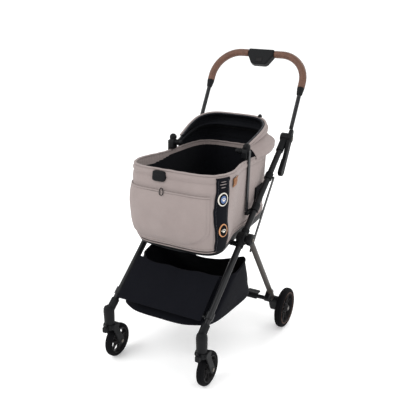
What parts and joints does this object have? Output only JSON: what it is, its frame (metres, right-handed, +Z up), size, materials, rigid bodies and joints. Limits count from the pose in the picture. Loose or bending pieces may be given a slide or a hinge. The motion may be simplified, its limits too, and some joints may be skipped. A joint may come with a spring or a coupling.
{
  "type": "pet stroller",
  "caption": "Folding four-wheel pet stroller: lift-off fabric carrier with a fan hood, leather-look push handle, swivel front casters and a cloth storage basket.",
  "frame": {"origin": "centre of the bounding box footprint, on the floor", "axes": "+Z up, -Y towards the front casters, +X to the right seen from the front"},
  "size_m": [0.579, 0.8984, 1.0186],
  "materials": {
    "frame_black": "satin black powder coat",
    "frame_bronze": "satin dark bronze anodised look",
    "plastic_black": "fine grained moulding",
    "grip_leather": "brown grained leather-look wrap with a stitched seam",
    "tyre_black": "matt solid rubber",
    "wheel_plastic": "satin moulding",
    "greige_cloth": "plain woven polyester",
    "black_cloth": "plain woven polyester",
    "tan_leather": "smooth tan leather-look tag"
  },
  "bodies": {
    "chassis": {"front_leg_L": "frame_black", "front_leg_R": "frame_black", "top_pivot_L": "plastic_black", "top_pivot_R": "plastic_black", "hub_housing_L": "plastic_black", "hub_housing_R": "plastic_black", "caster_housing_L": "plastic_black", "caster_housing_R": "plastic_black", "seat_bracket_L": "plastic_black", "seat_bracket_R": "plastic_black", "front_crossbar": "frame_black", "basket_panel": "black_cloth", "storage_basket": "black_cloth"},
    "rear_frame": {"rear_leg_L": "frame_bronze", "rear_leg_R": "frame_bronze", "axle_block_L": "plastic_black", "axle_block_R": "plastic_black", "rear_crossbar": "frame_black"},
    "brake": {"brake_pedal": "plastic_black"},
    "handle": {"handle_tube": "frame_black", "handle_bracket": "plastic_black", "grip_L": "grip_leather", "grip_R": "grip_leather", "grip_collar_L": "plastic_black", "grip_collar_R": "plastic_black", "handle_sleeve_L": "plastic_black", "handle_sleeve_R": "plastic_black"},
    "button": {"fold_button": "wheel_plastic"},
    "link_collars": {"link_collar_L": "plastic_black", "link_collar_R": "plastic_black"},
    "links": {"link_bar_L": "frame_black", "link_bar_R": "frame_black"},
    "carrier": {"carrier_shell": "greige_cloth", "carrier_rim": "greige_cloth", "cushion": "black_cloth", "base_frame": "frame_black", "latch_tab": "plastic_black", "badge_strap": "black_cloth", "leather_tag": "tan_leather", "rear_pocket": "black_cloth", "zip_pull": "plastic_black", "canopy_cloth": "greige_cloth", "side_strut_L": "frame_black", "side_strut_R": "frame_black", "canopy_hinge_L": "plastic_black", "canopy_hinge_R": "plastic_black"},
    "canopy_middle": {"canopy_bow_middle": "frame_black"},
    "canopy_front": {"canopy_bow_front": "frame_black"},
    "rear_wheel_L": {"rear_tyre_L": "tyre_black", "rear_rim_L": "wheel_plastic"},
    "caster_L": {"caster_fork_L": "plastic_black"},
    "lock_L": {"swivel_lock_L": "plastic_black"},
    "front_wheel_L": {"front_tyre_L": "tyre_black", "front_rim_L": "wheel_plastic"},
    "rear_wheel_R": {"rear_tyre_R": "tyre_black", "rear_rim_R": "wheel_plastic"},
    "caster_R": {"caster_fork_R": "plastic_black"},
    "lock_R": {"swivel_lock_R": "plastic_black"},
    "front_wheel_R": {"front_tyre_R": "tyre_black", "front_rim_R": "wheel_plastic"}
  },
  "joints": [
    {"name": "handle_fold", "type": "hinge", "parent": "chassis", "child": "handle", "pos_m": [0, 0.25864, 0.713], "axis": [1, 0, 0], "range_deg": [0, 110], "deforming": ["storage_basket"]},
    {"name": "rear_leg_fold", "type": "hinge", "parent": "chassis", "child": "rear_frame", "pos_m": [0, -0.10887, 0.43303], "axis": [1, 0, 0], "range_deg": [-60, 0]},
    {"name": "link_collar_slide", "type": "slide", "parent": "chassis", "child": "link_collars", "axis": [0, -0.7955, -0.606], "range_m": [0, 0.0476]},
    {"name": "link_swing", "type": "hinge", "parent": "link_collars", "child": "links", "pos_m": [0, 0.11473, 0.59332], "axis": [1, 0, 0], "range_deg": [-8, 0]},
    {"name": "button_press", "type": "slide", "parent": "handle", "child": "button", "axis": [0, 0.8581, -0.5135], "range_m": [0, 0.003], "stiffness_N_per_m": 500, "springref_m": -0.002},
    {"name": "brake_step", "type": "hinge", "parent": "rear_frame", "child": "brake", "pos_m": [0, 0.03477, 0.13568], "axis": [-1, 0, 0], "range_deg": [0, 20]},
    {"name": "carrier_lift", "type": "slide", "parent": "chassis", "child": "carrier", "axis": [0, 0, -1], "range_m": [-0.25, 0]},
    {"name": "canopy_open", "type": "hinge", "parent": "carrier", "child": "canopy_middle", "pos_m": [0, -0.02737, 0.722], "axis": [-1, 0, 0], "range_deg": [-76, 0], "deforming": ["canopy_cloth"]},
    {"name": "canopy_front_open", "type": "hinge", "parent": "canopy_middle", "child": "canopy_front", "pos_m": [0, -0.02737, 0.722], "axis": [-1, 0, 0], "range_deg": [-76, 0]},
    {"name": "rear_wheel_spin_L", "type": "hinge", "parent": "rear_frame", "child": "rear_wheel_L", "pos_m": [-0.274, 0.09859, 0.078], "axis": [1, 0, 0], "continuous": true},
    {"name": "caster_swivel_L", "type": "hinge", "parent": "chassis", "child": "caster_L", "pos_m": [-0.185, -0.41477, 0.1474], "axis": [0, 0, 1], "continuous": true},
    {"name": "front_wheel_spin_L", "type": "hinge", "parent": "caster_L", "child": "front_wheel_L", "pos_m": [-0.185, -0.37677, 0.061], "axis": [1, 0, 0], "continuous": true},
    {"name": "swivel_lock_flip_L", "type": "hinge", "parent": "caster_L", "child": "lock_L", "pos_m": [-0.185, -0.43817, 0.1415], "axis": [-1, 0, 0], "range_deg": [0, 25]},
    {"name": "rear_wheel_spin_R", "type": "hinge", "parent": "rear_frame", "child": "rear_wheel_R", "pos_m": [0.274, 0.09859, 0.078], "axis": [1, 0, 0], "continuous": true},
    {"name": "caster_swivel_R", "type": "hinge", "parent": "chassis", "child": "caster_R", "pos_m": [0.185, -0.41477, 0.1474], "axis": [0, 0, 1], "continuous": true},
    {"name": "front_wheel_spin_R", "type": "hinge", "parent": "caster_R", "child": "front_wheel_R", "pos_m": [0.185, -0.37677, 0.061], "axis": [1, 0, 0], "continuous": true},
    {"name": "swivel_lock_flip_R", "type": "hinge", "parent": "caster_R", "child": "lock_R", "pos_m": [0.185, -0.43817, 0.1415], "axis": [-1, 0, 0], "range_deg": [0, 25]}
  ],
  "couplings": [
    {"joint": "rear_leg_fold", "follows": "handle_fold", "ratio": -0.54545},
    {"joint": "link_collar_slide", "follows": "handle_fold", "m_per_rad": 0.02472},
    {"joint": "link_swing", "follows": "handle_fold", "ratio": -0.0723},
    {"joint": "canopy_front_open", "follows": "canopy_open", "ratio": 1}
  ]
}
